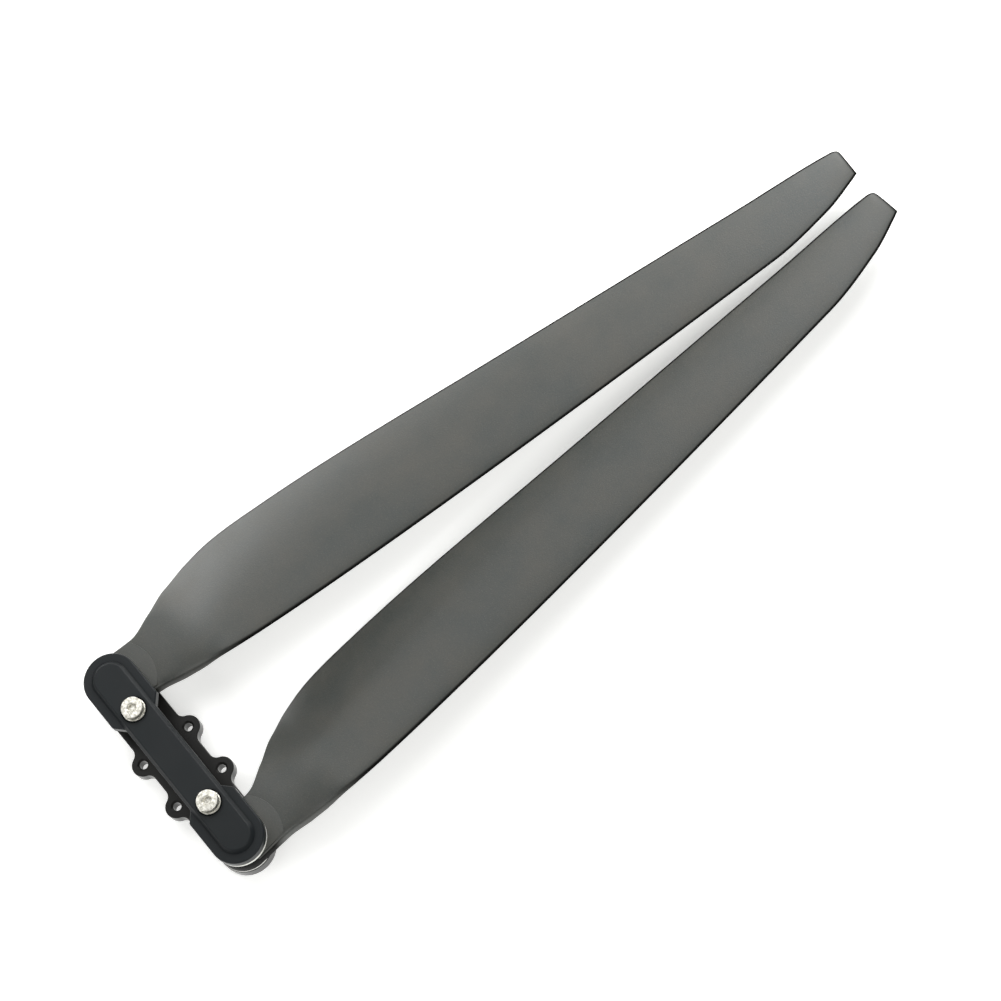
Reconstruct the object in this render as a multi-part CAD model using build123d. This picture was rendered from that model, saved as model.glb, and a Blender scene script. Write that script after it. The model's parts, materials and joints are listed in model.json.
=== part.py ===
from build123d import *
import math
import os

# Two-blade folding propeller for a large multirotor drone. Millimetres, +Z up.
# The origin is on the propeller's turning axis, at the underside of the bottom plate.
# It turns clockwise seen from above. Both blades are made folded, pointing towards +Y.

# overall sizes
pivot_spacing = 82.0  # between the two blade pivots, along X
blade_reach = 340.0  # from a pivot to that blade's tip
blade_pitch = 228.6  # advance in one turn, which sets the twist
folded_gap = 2.5  # between the folded blades, where they come nearest
lean_difference = 0.4  # in degrees: the right blade is folded in this much further

# hub plates
lobe_radius = 10.8  # round ends of both plates, on the pivots
plate_thickness = 5.0
cover_thickness = 3.4
rib_height = 1.5  # raised rib along the cover
rib_radius = 5.9  # at the rib's top
rib_slope = 1.4  # how far its sides spread at its foot
waist_setback = 15.8  # from a pivot to where the cover starts to narrow
waist_slant = 4.0  # length of the step in to the waist
waist_rounding = 1.2
edge_chamfer = 0.4

# ears that bolt to the motor
ear_spacing_x = 22.0
ear_spacing_y = 22.0
ear_radius = 4.7
ear_hole_radius = 1.65  # M3 clearance
ear_countersink = 0.7
ear_blend = 3.4  # hollow curve from ear to plate edge

# blade root and its stack of washers
root_thickness = 6.4
root_inset = 0.2  # root disc inside the plates' round ends
washer_inset = 0.15
lower_slip_thickness = 0.6
upper_slip_thickness = 1.0
steel_washer_thickness = 0.6
rubbing_gap = 0.05  # between the root and the slip washer on each side

# pivot
pin_radius = 4.0
pin_shoulder = 1.0  # from the pin's body in to its end spigots
spigot_lower_depth = 3.4
spigot_upper_depth = 3.0
spigot_end_gap = 0.2
running_clearance = 0.05
bush_wall = 1.5
pin_chamfer = 0.3

# clamp screws and the posts that they pull on
screw_radius = 2.5  # M5
screw_tip_height = 2.9  # above the underside, which makes a 16 mm screw
screw_hole_clearance = 0.25
head_radius = 4.25
head_height = 2.8
socket_width = 3.0  # across flats
socket_depth = 1.7
head_chamfer = 0.25
screw_washer_radius = 4.6
screw_washer_thickness = 0.8
spot_face_depth = 0.5
spot_face_clearance = 0.5
post_radius = 4.8
post_step = 0.9  # from the post's body in to the shank that sits in the bottom plate
post_to_blade = 0.5  # clearance beside the blade's neck

# blade outline: how far its edges stand from the line through the pivot, at stations along it
neck_overhang = 0.4  # neck wider than the plates' round ends, on each side
neck_end = 14.0  # flat root up to here
flare_station = 25.0
flare_leading = 3.4  # wider than the neck
flare_trailing = 6.1
shoulder_station = 35.0
shoulder_leading = 2.9  # narrower than the widest part
shoulder_trailing = 8.2
twist_full = 45.0  # full twist from here out
foil_full = 55.0  # full aerofoil section from here out
widest_station = 58.0
widest_leading = 21.2
widest_trailing = 34.6
taper_length = 27.0  # from the widest part to where the trailing edge runs almost straight
taper_drop = 2.2
trailing_hollow = 0.8  # how far the trailing edge bows in, halfway along
sweep_length = 45.0  # the last stretch, where the leading edge sweeps back
sweep_leading = 18.5
sweep_trailing = 9.6
sweep_bulge = 0.5
tip_leading = 9.8
tip_trailing = 5.6
tip_rounding = 3.0
tip_corner = 1.2

# blade thickness and section
mid_thickness = 4.8  # at the widest station
tip_thickness = 1.5
root_edge_thickness = 4.0
trailing_edge_thickness = 0.8
tip_edge_thickness = 0.6
camber = 0.032  # of the chord
half_section_points = 8
pad_radius = 17.0  # flat round pad that turns between the plates
pad_inset = 0.6
pad_height = 0.1  # proud of the blade's skin

# sizes that follow from those above
half_pivots = pivot_spacing / 2
neck_half_width = lobe_radius + neck_overhang
half_screws = half_pivots - neck_half_width - post_radius - post_to_blade
waist_start = half_pivots - waist_setback
root_radius = lobe_radius - root_inset
washer_radius = lobe_radius - washer_inset
pin_spigot_radius = pin_radius - pin_shoulder
post_shank_radius = post_radius - post_step
bush_bore = pin_radius + running_clearance
bush_radius = bush_bore + bush_wall
sweep_start = blade_reach - sweep_length
fold_travel = (pivot_spacing - sweep_leading - sweep_trailing - folded_gap) / 2
fold_lean = math.degrees(math.asin(fold_travel / sweep_start))

# heights, worked up from the underside
lower_washer_base = plate_thickness
root_base = lower_washer_base + lower_slip_thickness + rubbing_gap
root_top = root_base + root_thickness
root_middle = (root_base + root_top) / 2
upper_washer_base = root_top + rubbing_gap
steel_washer_base = upper_washer_base + upper_slip_thickness
cover_base = steel_washer_base + steel_washer_thickness
cover_top = cover_base + cover_thickness
rib_top = cover_top + rib_height
seat_height = rib_top - spot_face_depth
head_base = seat_height + screw_washer_thickness
head_top = head_base + head_height


def cylinder(radius, base, top):
    return Pos(0, 0, base) * extrude(Circle(radius), top - base)


def ring(outer, inner, base, top):
    return Pos(0, 0, base) * extrude(Circle(outer) - Circle(inner), top - base)


def stadium(radius):
    return SlotCenterToCenter(pivot_spacing, 2 * radius)


def both_ends(piece, distance):
    return [Pos(side * distance, 0, 0) * piece for side in (-1, 1)]


def smooth_step(value, start, end):
    share = min(max((value - start) / (end - start), 0), 1)
    return share * share * (3 - 2 * share)


def make_bottom_plate():
    ear_places = [
        (x * ear_spacing_x / 2, y * ear_spacing_y / 2) for x in (-1, 1) for y in (-1, 1)
    ]
    outline = stadium(lobe_radius) + [Pos(x, y) * Circle(ear_radius) for x, y in ear_places]
    # the ears' circles cross the plate's straight edges at these corners
    ears_reach = ear_spacing_x / 2 + ear_radius
    corners = [
        v for v in outline.vertices()
        if abs(v.X) < ears_reach and math.isclose(abs(v.Y), lobe_radius, abs_tol=0.01)
    ]
    plate = extrude(fillet(corners, ear_blend), plate_thickness)
    faces = plate.faces().sort_by(Axis.Z)
    rims = faces[0].outer_wire().edges() + faces[-1].outer_wire().edges()
    plate = chamfer(rims, edge_chamfer)
    hole = cylinder(ear_hole_radius, 0, plate_thickness)
    mouth = Pos(0, 0, plate_thickness - ear_countersink / 2) * Cone(
        ear_hole_radius, ear_hole_radius + ear_countersink, ear_countersink
    )
    plate -= [Pos(x, y, 0) * (hole + mouth) for x, y in ear_places]
    spigot_floor = plate_thickness - spigot_lower_depth - spigot_end_gap
    plate -= both_ends(cylinder(pin_spigot_radius, spigot_floor, plate_thickness), half_pivots)
    return plate - both_ends(cylinder(post_shank_radius, 0, plate_thickness), half_screws)


def make_top_cover():
    foot_radius = rib_radius + rib_slope
    waist_end = waist_start - waist_slant
    # the slant is carried on past the plate's edge, so that the cut goes right through it
    past_edge = 1.0
    mouth = waist_start + past_edge * waist_slant / (lobe_radius - foot_radius)
    notch = Polygon(
        (-mouth, lobe_radius + past_edge),
        (-waist_end, foot_radius),
        (waist_end, foot_radius),
        (mouth, lobe_radius + past_edge),
        align=None,
    )
    outline = stadium(lobe_radius) - notch - mirror(notch, Plane.XZ)
    corners = [v for v in outline.vertices() if abs(v.X) < (waist_start + half_pivots) / 2]
    outline = fillet(corners, waist_rounding)
    cover = Pos(0, 0, cover_base) * extrude(outline, cover_thickness)
    cover = chamfer(cover.faces().sort_by(Axis.Z)[-1].outer_wire().edges(), edge_chamfer)
    slope_angle = math.degrees(math.atan(rib_slope / rib_height))
    foot = stadium(foot_radius)
    rib = Pos(0, 0, cover_top) * extrude(foot, rib_height, taper=slope_angle)
    rib_bed = Pos(0, 0, cover_top - edge_chamfer) * extrude(foot, edge_chamfer)
    cover = cover + rib_bed + rib
    screw_hole = cylinder(screw_radius + screw_hole_clearance, cover_base, rib_top)
    spot_face = cylinder(screw_washer_radius + spot_face_clearance, seat_height, rib_top)
    cover -= both_ends(screw_hole + spot_face, half_screws)
    spigot_roof = cover_base + spigot_upper_depth + spigot_end_gap
    return cover - both_ends(cylinder(pin_spigot_radius, cover_base, spigot_roof), half_pivots)


def make_post():
    post = cylinder(post_radius, plate_thickness, cover_base)
    post += cylinder(post_shank_radius, 0, plate_thickness)
    return post - cylinder(screw_radius, 0, cover_base)


def make_screw():
    shank = cylinder(screw_radius, screw_tip_height, head_base)
    shank = chamfer(shank.faces().sort_by(Axis.Z)[0].edges(), pin_chamfer)
    head = cylinder(head_radius, head_base, head_top)
    head = chamfer(head.faces().sort_by(Axis.Z)[-1].edges(), head_chamfer)
    hexagon = RegularPolygon(socket_width / math.sqrt(3), 6)
    return shank + head - Pos(0, 0, head_top - socket_depth) * extrude(hexagon, socket_depth)


def make_pin():
    pin = cylinder(pin_radius, plate_thickness, cover_base)
    spigot_bottom = plate_thickness - spigot_lower_depth
    spigot = cylinder(pin_spigot_radius, spigot_bottom, cover_base + spigot_upper_depth)
    ends = spigot.faces().filter_by(GeomType.PLANE).edges()
    return pin + chamfer(ends, pin_chamfer)


def flow(points, station):
    # a smooth curve through the points, that never swings past them
    stations = [p[0] for p in points]
    values = [p[1] for p in points]
    slopes = [
        (values[i + 1] - values[i]) / (stations[i + 1] - stations[i])
        for i in range(len(points) - 1)
    ]
    tangents = [slopes[0]]
    for before, after in zip(slopes, slopes[1:]):
        tangents.append(2 * before * after / (before + after) if before * after > 0 else 0)
    tangents.append(slopes[-1])
    span = 0
    while span < len(slopes) - 1 and station > stations[span + 1]:
        span += 1
    length = stations[span + 1] - stations[span]
    t = (station - stations[span]) / length
    return (
        (1 + 2 * t) * (1 - t) ** 2 * values[span]
        + t * (1 - t) ** 2 * length * tangents[span]
        + t * t * (3 - 2 * t) * values[span + 1]
        - t * t * (1 - t) * length * tangents[span + 1]
    )


def leading_edge(station):
    sweep_middle = blade_reach - 0.4 * sweep_length
    return flow(
        [
            (0, neck_half_width),
            (neck_end, neck_half_width + 0.5),
            (flare_station, neck_half_width + flare_leading),
            (shoulder_station, widest_leading - shoulder_leading),
            (twist_full, widest_leading - 0.4),
            (widest_station, widest_leading),
            (sweep_start, sweep_leading),
            (sweep_middle, (sweep_leading + tip_leading) / 2 + sweep_bulge),
            (blade_reach - tip_rounding, tip_leading),
            (blade_reach, tip_leading - tip_corner),
        ],
        station,
    )


def trailing_edge(station):
    taper_start = widest_station + taper_length
    taper_from = widest_trailing - taper_drop
    return flow(
        [
            (0, neck_half_width),
            (neck_end, neck_half_width + 0.3),
            (flare_station, neck_half_width + flare_trailing),
            (shoulder_station, widest_trailing - shoulder_trailing),
            (twist_full, widest_trailing - 1.6),
            (widest_station, widest_trailing),
            (taper_start, taper_from),
            (
                (taper_start + sweep_start) / 2,
                (taper_from + sweep_trailing) / 2 - trailing_hollow,
            ),
            (sweep_start, sweep_trailing),
            (blade_reach - tip_rounding, tip_trailing),
            (blade_reach, tip_trailing - tip_corner),
        ],
        station,
    )


def twist(station):
    full = math.atan(blade_pitch / (2 * math.pi * (station + half_pivots)))
    return full * smooth_step(station, neck_end, twist_full)


def thickness(station):
    skin = root_thickness - 2 * pad_height
    return flow(
        [
            (0, skin),
            (neck_end, skin),
            (widest_station, mid_thickness),
            (blade_reach, tip_thickness),
        ],
        station,
    )


def half_thickness(station, share):
    # share runs from 0 at the leading edge to 1 at the trailing edge
    full = thickness(station)
    edge = flow(
        [
            (0, root_edge_thickness),
            (foil_full, trailing_edge_thickness),
            (blade_reach, tip_edge_thickness),
        ],
        station,
    )
    # near the root a rounded slab, further out the usual four-digit aerofoil
    square = (1 - abs(2 * share - 1) ** 6) ** (1 / 6)
    slab = edge / 2 * share + (full - edge * share) / 2 * square
    foil = edge / 2 * share + 5 * full * (
        0.2969 * math.sqrt(share) - 0.1260 * share - 0.3516 * share**2
        + 0.2843 * share**3 - 0.1036 * share**4
    )
    weight = smooth_step(station, neck_end, foil_full)
    return (1 - weight) * slab + weight * foil


def blade_section(station):
    lead = leading_edge(station)
    chord = lead + trailing_edge(station)
    arch = camber * smooth_step(station, neck_end, foil_full) * chord
    points = []
    for step in range(-half_section_points, half_section_points + 1):
        share = (1 - math.cos(math.pi * step / half_section_points)) / 2
        side = 1 if step < 0 else -1
        height = 4 * arch * share * (1 - share) + side * half_thickness(station, share)
        points.append((lead - share * chord, height))
    angle = twist(station)
    plane = Plane(
        origin=(0, station, root_middle),
        x_dir=(math.cos(angle), 0, math.sin(angle)),
        z_dir=(0, -1, 0),
    )
    return plane * make_face([Spline(*points), Line(points[-1], points[0])])


def make_blade():
    inner = [0, 5, 10, neck_end, 20, 27, shoulder_station, twist_full, widest_station]
    outer_count = 9
    outer_length = blade_reach - tip_rounding - widest_station
    outer = [widest_station + outer_length * (i + 1) / outer_count for i in range(outer_count)]
    stations = inner + outer + [blade_reach - tip_rounding / 3, blade_reach]
    skin = loft([blade_section(station) for station in stations])
    # space above and below the pad, where the plates' round ends turn past the blade
    clear = 60
    above = cylinder(pad_radius, root_top, root_top + clear)
    below = cylinder(pad_radius, root_base - clear, root_base)
    behind = Pos(0, -clear / 2, root_middle) * Box(clear, clear, clear)
    neck = Pos(0, pad_radius / 2) * Rectangle(2 * (neck_half_width - pad_inset), pad_radius)
    pad_outline = Circle(root_radius) + (Circle(pad_radius) & neck)
    pad = Pos(0, 0, root_base) * extrude(pad_outline, root_thickness)
    blade = (skin - above - below - behind) + pad
    return blade - cylinder(bush_radius, root_base, root_top)


def pivot_washer(base, top):
    return ring(washer_radius, bush_bore, base, top)


screw_washer_bore = screw_radius + screw_hole_clearance
at_pivots = {
    "pivot_pin": make_pin(),
    "lower_slip_washer": pivot_washer(lower_washer_base, root_base - rubbing_gap),
    "upper_slip_washer": pivot_washer(upper_washer_base, steel_washer_base),
    "steel_washer": pivot_washer(steel_washer_base, cover_base),
}
on_blades = {
    "root_bush": ring(bush_radius, bush_bore, root_base, root_top),
    "blade": make_blade(),
}
at_screws = {
    "threaded_post": make_post(),
    "screw_washer": ring(screw_washer_radius, screw_washer_bore, seat_height, head_base),
    "clamp_screw": make_screw(),
}

pieces = {
    "bottom_plate": make_bottom_plate(),
    "top_cover": make_top_cover(),
}
for side, end in ((-1, "left"), (1, "right")):
    lean = side * fold_lean + lean_difference / 2
    for name, piece in at_pivots.items():
        pieces[f"{name}_{end}"] = Pos(side * half_pivots, 0, 0) * piece
    for name, piece in on_blades.items():
        pieces[f"{name}_{end}"] = Pos(side * half_pivots, 0, 0) * Rot(0, 0, lean) * piece
    for name, piece in at_screws.items():
        pieces[f"{name}_{end}"] = Pos(side * half_screws, 0, 0) * piece

os.makedirs("parts", exist_ok=True)
for name, piece in pieces.items():
    export_step(piece, f"parts/{name}.step")
    print(name, len(piece.solids()), round(piece.volume, 1))
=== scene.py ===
import json
import math

import bmesh
import bpy
from mathutils import Matrix, Vector


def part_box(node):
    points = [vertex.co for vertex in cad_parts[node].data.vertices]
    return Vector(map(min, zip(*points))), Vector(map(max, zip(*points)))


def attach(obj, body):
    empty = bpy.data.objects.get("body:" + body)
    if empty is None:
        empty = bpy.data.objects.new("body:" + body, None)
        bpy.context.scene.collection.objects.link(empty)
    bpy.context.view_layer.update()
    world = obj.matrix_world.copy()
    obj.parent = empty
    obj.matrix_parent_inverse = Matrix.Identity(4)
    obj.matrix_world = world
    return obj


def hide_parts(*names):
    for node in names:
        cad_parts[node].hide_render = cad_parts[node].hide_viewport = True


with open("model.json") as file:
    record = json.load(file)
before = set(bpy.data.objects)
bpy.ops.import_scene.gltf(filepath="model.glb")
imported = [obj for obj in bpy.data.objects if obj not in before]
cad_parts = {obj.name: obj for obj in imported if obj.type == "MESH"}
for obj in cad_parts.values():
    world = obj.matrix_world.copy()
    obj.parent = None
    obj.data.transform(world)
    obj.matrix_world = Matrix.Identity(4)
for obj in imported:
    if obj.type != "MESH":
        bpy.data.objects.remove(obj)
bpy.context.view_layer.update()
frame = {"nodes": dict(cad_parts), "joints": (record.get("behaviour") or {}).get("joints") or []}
mm = 0.001
print("frame loaded")

# places that the CAD model gives
pivots = {joint["child"]: Vector(joint["pos_m"]) for joint in frame["joints"]}
plateLow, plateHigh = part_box("bottom_plate")
coverLow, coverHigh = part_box("top_cover")
screwPlaces = {
    side: sum(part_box(f"clamp_screw_{side}"), Vector()) / 2 for side in ("left", "right")
}
halfPivots = pivots["right_blade"].x
lobeRadius = coverHigh.x - halfPivots
# how far a cutter runs past what it cuts
past = 1 * mm


def srgb(code):
    # a hex colour as the linear values that the shader wants
    values = [int(code[i : i + 2], 16) / 255 for i in (1, 3, 5)]
    return [v / 12.92 if v <= 0.04045 else ((v + 0.055) / 1.055) ** 2.4 for v in values] + [1]


def addNode(tree, kind, settings=None, links=None):
    # settings holds the node's own properties by name, and socket values by socket name or number
    node = tree.nodes.new(kind)
    for key, value in (settings or {}).items():
        if isinstance(key, str) and hasattr(node, key):
            setattr(node, key, value)
        else:
            node.inputs[key].default_value = value
    for key, source in (links or {}).items():
        tree.links.new(source, node.inputs[key])
    return node


def maths(tree, operation, *inputs, clamp=False):
    # numbers are set on the sockets, and anything else is linked
    settings, links = {"operation": operation, "use_clamp": clamp}, {}
    for i, value in enumerate(inputs):
        (settings if isinstance(value, (int, float)) else links)[i] = value
    return addNode(tree, "ShaderNodeMath", settings, links).outputs[0]


def remap(tree, value, source, target=(0, 1), smooth=False):
    settings = {"interpolation_type": "SMOOTHSTEP" if smooth else "LINEAR"}
    settings["From Min"], settings["From Max"] = source
    settings["To Min"], settings["To Max"] = target
    return addNode(tree, "ShaderNodeMapRange", settings, {"Value": value}).outputs["Result"]


def mixed(tree, share, low, high):
    # each colour is a hex code or another node's colour
    settings, links = {"data_type": "RGBA"}, {0: share}
    for socket, colour in ((6, low), (7, high)):
        if isinstance(colour, str):
            settings[socket] = srgb(colour)
        else:
            links[socket] = colour
    return addNode(tree, "ShaderNodeMix", settings, links).outputs[2]


def noise(tree, place, size, detail, roughness=0.5):
    settings = {"Scale": 1 / (size * mm), "Detail": detail, "Roughness": roughness}
    return addNode(tree, "ShaderNodeTexNoise", settings, {"Vector": place}).outputs["Fac"]


def bumped(tree, height, size):
    settings = {"Strength": 0.5, "Distance": size * mm}
    return addNode(tree, "ShaderNodeBump", settings, {"Height": height}).outputs["Normal"]


def wire(tree, shader, sources):
    for name, source in sources.items():
        tree.links.new(source, shader.inputs[name])


def newMaterial(name):
    material = bpy.data.materials.new(name)
    material.use_nodes = True
    tree = material.node_tree
    tree.nodes.clear()
    shader = addNode(tree, "ShaderNodeBsdfPrincipled")
    addNode(tree, "ShaderNodeOutputMaterial", links={"Surface": shader.outputs["BSDF"]})
    place = addNode(tree, "ShaderNodeTexCoord").outputs["Object"]
    return material, tree, shader, place


def wallMask(tree, limits):
    # 0 on upright walls, 1 on faces that look up or down
    normal = addNode(tree, "ShaderNodeNewGeometry").outputs["Normal"]
    upright = addNode(tree, "ShaderNodeSeparateXYZ", links={0: normal}).outputs["Z"]
    return remap(tree, maths(tree, "ABSOLUTE", upright), limits, smooth=True)


# a noise hardly ever leaves this part of its range
noiseRange = (0.3, 0.7)

# moulded nylon filled with chopped carbon: dark warm grey, half matt, with a fine grain left by
# the etched mould, tiny fibre ends that show as paler dots, and soft clouds from the melt's flow;
# its edges and the root disc's wall carry painted shade, near black and nearly without shine
carbonNylonLook = {
    "deep": "#2F3432",
    "pale": "#3F3E38",
    "fibre": "#4B4C46",
    # near-black painted shade for the blade's edges and the root disc's upright wall
    "sanded": "#080807",
    "cloudSize": 22.0,
    "grainSize": 0.6,
    "mottleRange": (0.7, 1.3),
    "fibreSize": 1.0,
    "fibreReach": (0.10, 0.22),
    "fibreShare": (0.55, 0.0),
    "grainHeight": 0.13,
    "roughness": (0.38, 0.5),
    "specular": 0.59,
    "edgeSpecular": 0.04,
    "wallTurn": (0.35, 0.82),
    "discWall": (8, 14),
}


def mouldedCarbonNylon(look):
    material, tree, shader, place = newMaterial("mouldedCarbonNylon")
    clouds = noise(tree, place, look["cloudSize"], 4.0, 0.55)
    grain = noise(tree, place, look["grainSize"], 3.0, 0.7)
    mottle = remap(tree, maths(tree, "ADD", clouds, grain), look["mottleRange"])
    dots = addNode(
        tree,
        "ShaderNodeTexVoronoi",
        {"Scale": 1 / (look["fibreSize"] * mm), "Randomness": 1.0},
        {"Vector": place},
    ).outputs["Distance"]
    dotShare = remap(tree, dots, look["fibreReach"], look["fibreShare"])
    colour = mixed(tree, dotShare, mixed(tree, mottle, look["deep"], look["pale"]), look["fibre"])
    # painted shade: the blade's own skin says which edges are painted dark, and the root disc's
    # upright wall is painted dark too
    edges = addNode(
        tree, "ShaderNodeAttribute", {"attribute_type": "GEOMETRY", "attribute_name": "sanded"}
    ).outputs["Fac"]
    station = addNode(tree, "ShaderNodeSeparateXYZ", links={0: place}).outputs["Y"]
    pastDisc = remap(tree, station, [limit * mm for limit in look["discWall"]], smooth=True)
    disc = maths(tree, "MAXIMUM", wallMask(tree, look["wallTurn"]), pastDisc)
    # painted shade: where this is 0 the colour goes near black and the shine drops
    faces = maths(tree, "SUBTRACT", disc, edges, clamp=True)
    gloss = remap(tree, faces, (0, 1), (look["edgeSpecular"], look["specular"]))
    wire(
        tree,
        shader,
        {
            "Specular IOR Level": gloss,
            "Base Color": mixed(tree, faces, look["sanded"], colour),
            "Roughness": remap(tree, clouds, noiseRange, look["roughness"]),
            "Normal": bumped(tree, grain, look["grainHeight"]),
        },
    )
    return material


# aluminium, bead blasted and then anodised black: a satin blue-black skin, slightly mottled,
# with the blasting's fine pitting, and painted shade that darkens its crevices and dims their
# shine
anodisedLook = {
    "deep": "#101416",
    "pale": "#171C1E",
    "cloudSize": 14.0,
    "pitSize": 0.4,
    "pitHeight": 0.03,
    "roughness": (0.36, 0.48),
    "specular": 0.24,
    "wallRoughness": 0.3,
    "wallSpecular": 0.3,
    "wallTurn": (0.2, 0.6),
    # how far the painted crevice shade reaches, and how steeply it falls off
    "paintedShadeReach": 2.2,
    "paintedShadeFalloff": 1.5,
}
# the plate is plainer black, and its milled side walls keep more shine than its blasted faces
plateLook = dict(
    anodisedLook, deep="#111110", pale="#191917", wallRoughness=0.14, wallSpecular=1.0
)


def anodisedAluminium(look, name):
    material, tree, shader, place = newMaterial(name)
    clouds = noise(tree, place, look["cloudSize"], 5.0, 0.6)
    pits = noise(tree, place, look["pitSize"], 2.0, 0.6)
    faces = wallMask(tree, look["wallTurn"])
    rough = remap(tree, clouds, noiseRange, look["roughness"])
    finish = addNode(tree, "ShaderNodeMix", {2: look["wallRoughness"]}, {0: faces, 3: rough})
    # painted shade: ambient occlusion darkens the colour in crevices, gaps and recesses
    paintedCreviceShade = addNode(
        tree,
        "ShaderNodeAmbientOcclusion",
        {"samples": 8, "Distance": look["paintedShadeReach"] * mm},
        {"Color": mixed(tree, clouds, look["deep"], look["pale"])},
    ).outputs
    # painted shade also dims the shine in the same crevices
    paintedShadeShare = maths(tree, "POWER", paintedCreviceShade["AO"], look["paintedShadeFalloff"])
    gloss = remap(tree, faces, (0, 1), (look["wallSpecular"], look["specular"]))
    wire(
        tree,
        shader,
        {
            "Specular IOR Level": maths(tree, "MULTIPLY", gloss, paintedShadeShare),
            "Base Color": paintedCreviceShade["Color"],
            "Roughness": finish.outputs[0],
            "Normal": bumped(tree, pits, look["pitHeight"]),
        },
    )
    return material


# stainless steel, turned and then tumbled: bright and slightly warm, dulled in patches
steelLook = {
    "bright": "#FFFDF4",
    "dull": "#B0ADA1",
    "patchSize": 1.1,
    "patchEdge": (0.35, 0.65),
    "scratchSize": 0.35,
    "scratchHeight": 0.02,
    "roughness": (0.34, 0.52),
}


def turnedSteel(look, name="turnedStainlessSteel"):
    material, tree, shader, place = newMaterial(name)
    patches = noise(tree, place, look["patchSize"], 5.0, 0.65)
    scratches = noise(tree, place, look["scratchSize"], 2.0)
    shine = remap(tree, patches, look["patchEdge"])
    shader.inputs["Metallic"].default_value = 1.0
    wire(
        tree,
        shader,
        {
            "Base Color": mixed(tree, shine, look["dull"], look["bright"]),
            "Roughness": remap(tree, patches, noiseRange, reversed(look["roughness"])),
            "Normal": bumped(tree, scratches, look["scratchHeight"]),
        },
    )
    return material


# acetal sheet, punched: white, smooth and a little waxy
acetalLook = {"pale": "#F2F2EE", "dirty": "#DCDCD4", "patchSize": 5.0, "roughness": 0.32}


def whiteAcetal(look):
    material, tree, shader, place = newMaterial("whiteAcetal")
    patches = noise(tree, place, look["patchSize"], 3.0)
    shader.inputs["Roughness"].default_value = look["roughness"]
    wire(tree, shader, {"Base Color": mixed(tree, patches, look["dirty"], look["pale"])})
    return material


carbonNylon = mouldedCarbonNylon(carbonNylonLook)
anodised = anodisedAluminium(anodisedLook, "anodisedAluminium")
plateAnodised = anodisedAluminium(plateLook, "plainAnodisedAluminium")
steel = turnedSteel(steelLook)
acetal = whiteAcetal(acetalLook)
# turned brass, warm yellow and slightly tarnished
brassLook = dict(steelLook, bright="#D9B36A", dull="#A98748", roughness=(0.26, 0.4))
brass = turnedSteel(brassLook, "turnedBrass")
print("materials made")


def newObject(name, mesh):
    piece = bpy.data.objects.new(name, mesh)
    bpy.context.scene.collection.objects.link(piece)
    return piece


def removeObject(piece):
    mesh = piece.data
    bpy.data.objects.remove(piece)
    if mesh.users == 0:
        bpy.data.meshes.remove(mesh)


def applyModifiers(piece):
    # swaps the piece's mesh for the evaluated one and takes its modifiers off
    graph = bpy.context.evaluated_depsgraph_get()
    made = bpy.data.meshes.new_from_object(piece.evaluated_get(graph))
    made.name = piece.name
    old = piece.data
    piece.modifiers.clear()
    piece.data = made
    bpy.data.meshes.remove(old)


def combine(piece, other, operation):
    # the other object is used up
    modifier = piece.modifiers.new("combine", "BOOLEAN")
    modifier.operation = operation
    modifier.solver = "EXACT"
    modifier.object = other
    applyModifiers(piece)
    removeObject(other)


def smooth(piece, angle, weighted=True):
    mesh = piece.data
    mesh.shade_smooth()
    mesh.set_sharp_from_angle(angle=math.radians(angle))
    if weighted:
        modifier = piece.modifiers.new("flats stay flat", "WEIGHTED_NORMAL")
        modifier.keep_sharp = True
        modifier.weight = 100
        applyModifiers(piece)


def finishPiece(piece, material, body, slot, *nodes):
    piece.data.materials.clear()
    piece.data.materials.append(material)
    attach(piece, body)
    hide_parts(*nodes)


def arc(centre, radius, start, end, steps=16):
    # points with their outward directions, and a hollow corner is one that runs clockwise
    made = []
    hollow = end < start
    for i in range(steps + 1):
        angle = math.radians(start + (end - start) * i / steps)
        direction = Vector((math.cos(angle), math.sin(angle)))
        made.append((Vector(centre) + direction * radius, -direction if hollow else direction))
    return made


def halfTurn(points):
    return [(-point, -direction) for point, direction in points]


def layeredMesh(name, outline, profile):
    # rings of the outline, each moved inwards and set at a height, closed by flat ends
    work = bmesh.new()
    rings = []
    for inset, height in profile:
        rings.append(
            [
                work.verts.new((*(point - direction * inset), height))
                for point, direction in outline
            ]
        )
    for low, high in zip(rings, rings[1:]):
        for i in range(len(outline)):
            j = (i + 1) % len(outline)
            work.faces.new((low[i], low[j], high[j], high[i]))
    work.faces.new(reversed(rings[0]))
    work.faces.new(rings[-1])
    bmesh.ops.remove_doubles(work, verts=work.verts, dist=1e-7)
    bmesh.ops.recalc_face_normals(work, faces=work.faces)
    mesh = bpy.data.meshes.new(name)
    work.to_mesh(mesh)
    work.free()
    return newObject(name, mesh)


def softCorner(size, softness=0.3):
    # a chamfer with its two corners softened, as (share across, share up) of its size
    return [(1, 0), (1 - softness, softness * 0.35), (softness * 0.35, 1 - softness), (0, 1)]


def startTree(name, inputs):
    tree = bpy.data.node_groups.new(name, "GeometryNodeTree")
    sockets = tree.interface
    sockets.new_socket("Geometry", in_out="OUTPUT", socket_type="NodeSocketGeometry")
    for socket, kind in inputs.items():
        sockets.new_socket(socket, in_out="INPUT", socket_type=f"NodeSocket{kind}")
    return tree, addNode(tree, "NodeGroupInput").outputs


def wholeNumber(tree, value):
    return addNode(
        tree, "FunctionNodeFloatToInt", {"rounding_mode": "ROUND"}, {0: value}
    ).outputs[0]


def named(tree, name):
    settings = {"data_type": "FLOAT", "Name": name}
    return addNode(tree, "GeometryNodeInputNamedAttribute", settings).outputs[0]


def sampled(tree, geometry, value, number, kind="FLOAT"):
    links = {"Geometry": geometry, "Value": value, "Index": number}
    return addNode(tree, "GeometryNodeSampleIndex", {"data_type": kind}, links).outputs[0]


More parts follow.
